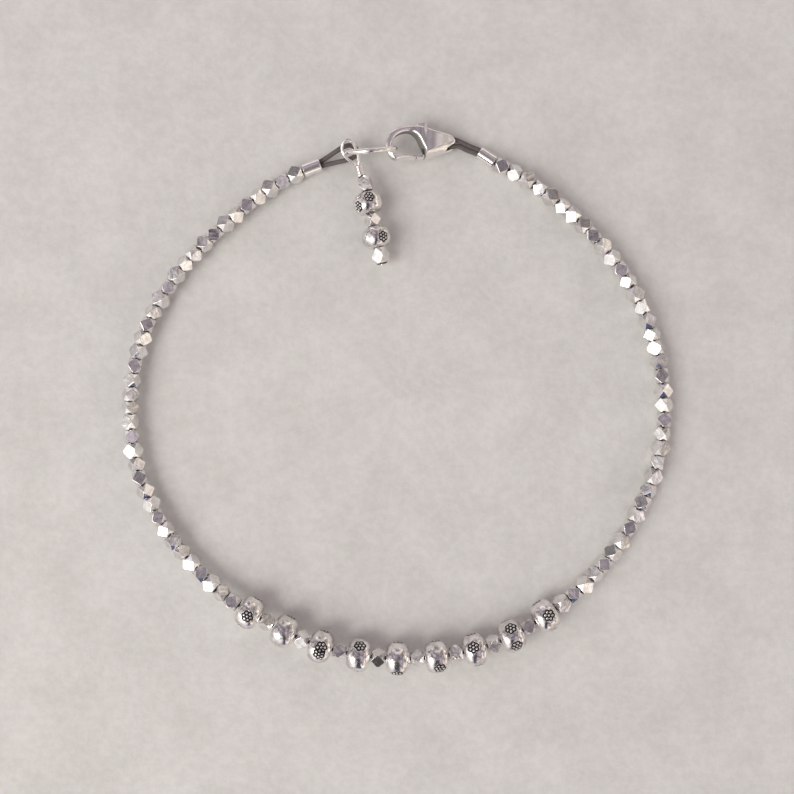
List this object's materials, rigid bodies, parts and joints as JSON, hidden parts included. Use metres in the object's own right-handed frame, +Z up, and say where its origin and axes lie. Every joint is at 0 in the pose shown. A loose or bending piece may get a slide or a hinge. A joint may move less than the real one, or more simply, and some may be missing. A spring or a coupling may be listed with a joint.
{
  "type": "beaded bracelet",
  "caption": "Closed bracelet of faceted silver nuggets with stamped barrel beads at the front, a lobster clasp on cord loops and a small wire dangle.",
  "frame": {"origin": "centre of the bounding box, on the surface that the bracelet lies on", "axes": "+Z up from the surface, +Y from the stamped front towards the clasp, +X to the clasp's tail side"},
  "size_m": [0.071, 0.0706, 0.0065],
  "materials": {
    "nugget_silver": "polished silver with faceted faces, lightly tarnished at the edges",
    "stamped_silver": "soft polished silver with blackened flower stamps",
    "finding_silver": "bright polished silver",
    "waxed_cord": "dull waxed cord, grey brown"
  },
  "bodies": {
    "bracelet": {"right_nugget_string": "nugget_silver", "left_nugget_string": "nugget_silver", "front_cord": "waxed_cord", "stamped_bead_1": "stamped_silver", "stamped_bead_2": "stamped_silver", "stamped_bead_3": "stamped_silver", "stamped_bead_4": "stamped_silver", "stamped_bead_5": "stamped_silver", "stamped_bead_6": "stamped_silver", "stamped_bead_7": "stamped_silver", "stamped_bead_8": "stamped_silver", "stamped_bead_9": "stamped_silver", "front_nugget_1": "nugget_silver", "front_nugget_2": "nugget_silver", "front_nugget_3": "nugget_silver", "front_nugget_4": "nugget_silver", "front_nugget_5": "nugget_silver", "front_nugget_6": "nugget_silver", "front_nugget_7": "nugget_silver", "front_nugget_8": "nugget_silver", "crimp_left": "finding_silver", "cord_loop_left": "waxed_cord", "jump_ring": "finding_silver", "crimp_right": "finding_silver", "cord_loop_right": "waxed_cord", "clasp_body": "finding_silver", "dangle_wire": "finding_silver", "dangle_nugget_1": "nugget_silver", "dangle_nugget_2": "nugget_silver", "dangle_nugget_3": "nugget_silver", "dangle_stamped_1": "stamped_silver", "dangle_stamped_2": "stamped_silver"},
    "clasp_lever": {"clasp_lever": "finding_silver"}
  },
  "joints": [
    {"name": "clasp_lever_hinge", "type": "hinge", "parent": "bracelet", "child": "clasp_lever", "pos_m": [0.00436, 0.03158, 0.00149], "axis": [-0.2164, 0, -0.9763], "range_deg": [0, 28], "stiffness_Nm_per_rad": 0.004, "springref_deg": -17.19}
  ]
}
